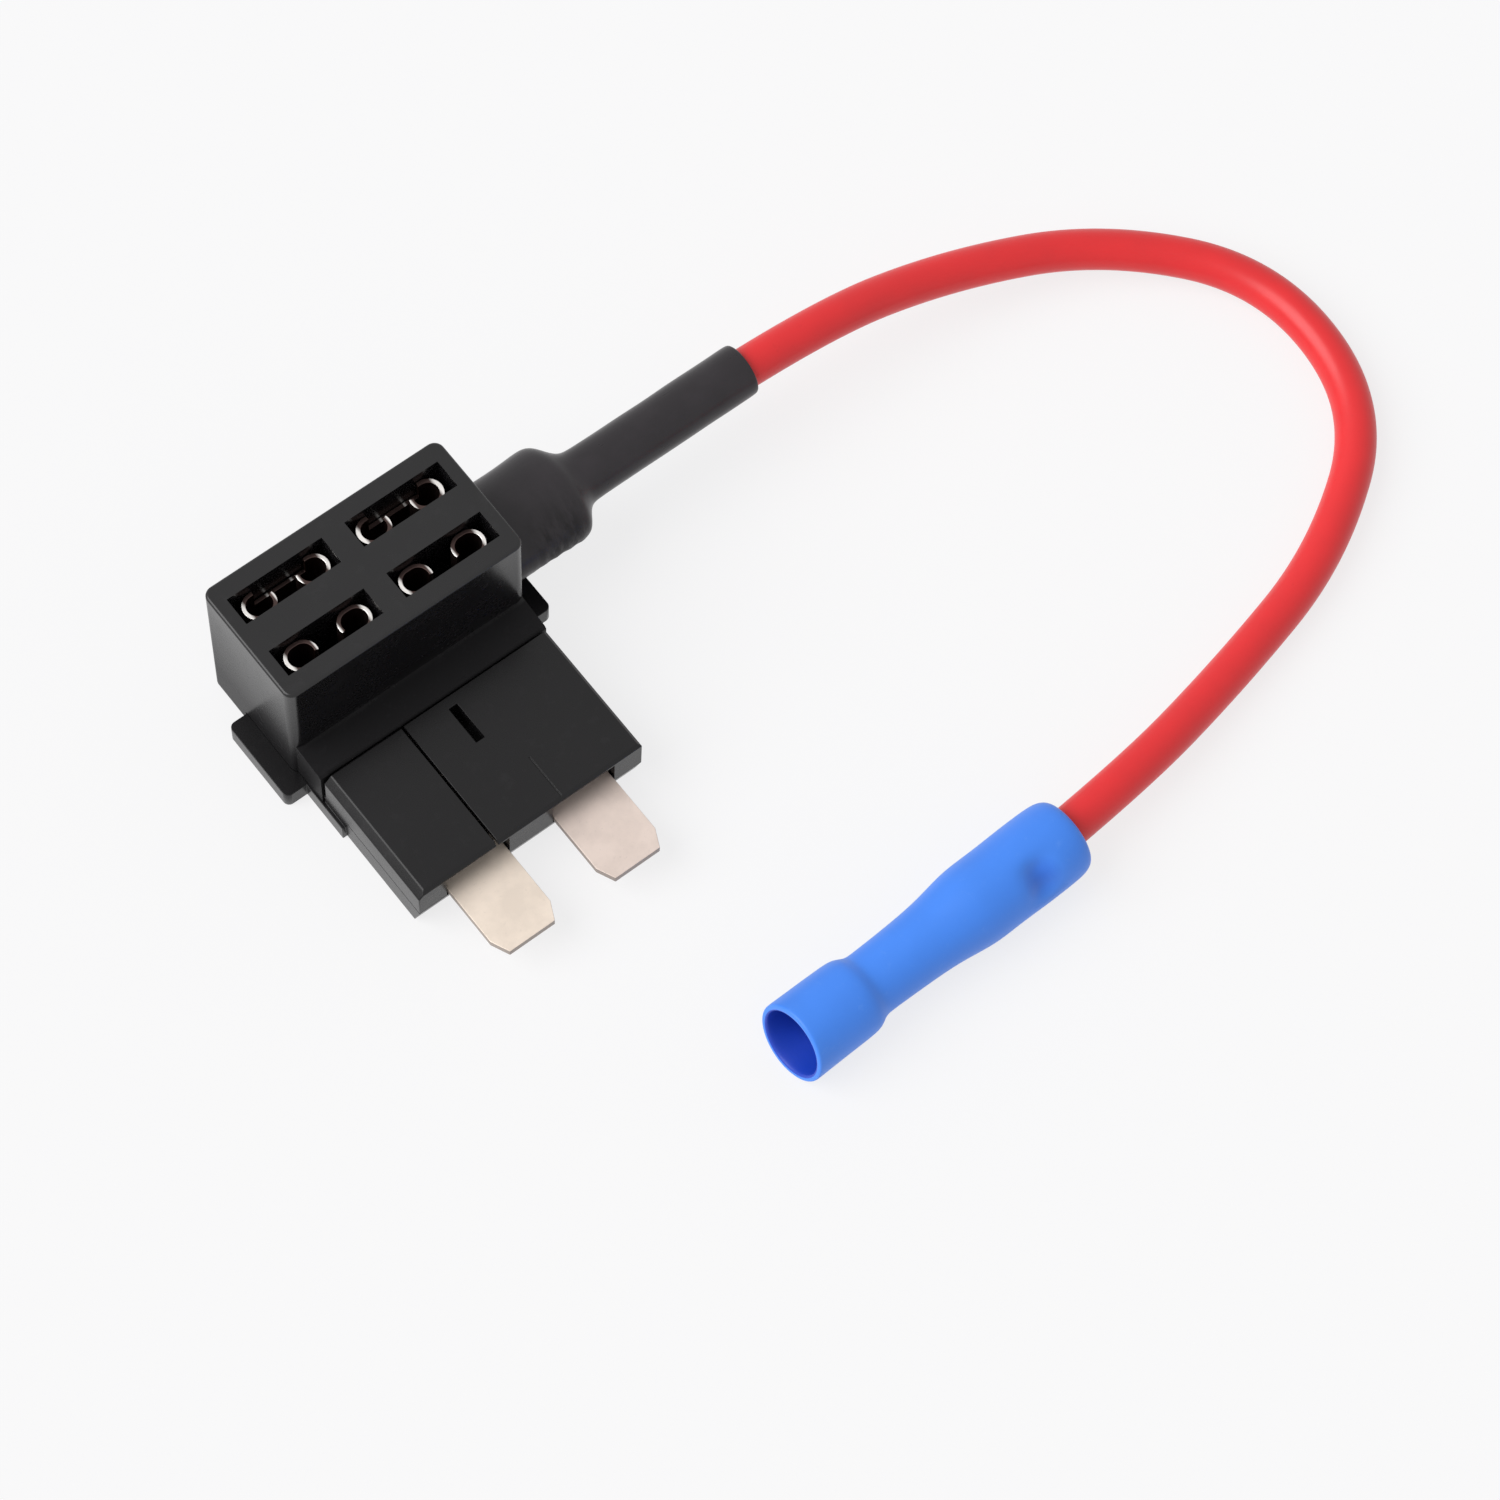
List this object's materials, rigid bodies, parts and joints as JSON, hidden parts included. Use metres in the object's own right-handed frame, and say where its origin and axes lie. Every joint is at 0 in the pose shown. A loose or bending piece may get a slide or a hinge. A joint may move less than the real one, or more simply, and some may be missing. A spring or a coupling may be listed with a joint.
{
  "type": "blade fuse tap",
  "caption": "Add-a-circuit fuse tap: flat two-blade plug, upright fuse sockets, and a short insulated wire that ends in a crimp splice.",
  "frame": {"origin": "on the base's flat underside, midway between the two blades and midway along the body", "axes": "+X from the blades' middle plane to the side where the wire leaves, blades point to -Y, +Z out of the open fuse sockets"},
  "size_m": [0.0845, 0.051, 0.0139],
  "materials": {
    "housing": "matte",
    "blade_tin": "satin",
    "contact_tin": "satin",
    "sleeve": "satin",
    "insulation": "satin",
    "copper": "satin",
    "splice_blue": "satin",
    "copper_tin": "satin"
  },
  "bodies": {
    "root": {"socket_housing": "housing", "base_shell": "housing", "plug_panel_left": "housing", "plug_panel_right": "housing", "feed_blade": "blade_tin", "return_blade": "blade_tin", "socket_contact_front_left": "contact_tin", "socket_contact_back_left": "contact_tin", "socket_contact_front_right": "contact_tin", "tap_terminal": "contact_tin", "heat_shrink_sleeve": "sleeve", "wire_insulation": "insulation", "wire_conductor": "copper", "splice_insulator": "splice_blue", "splice_barrel": "copper_tin"}
  },
  "joints": []
}
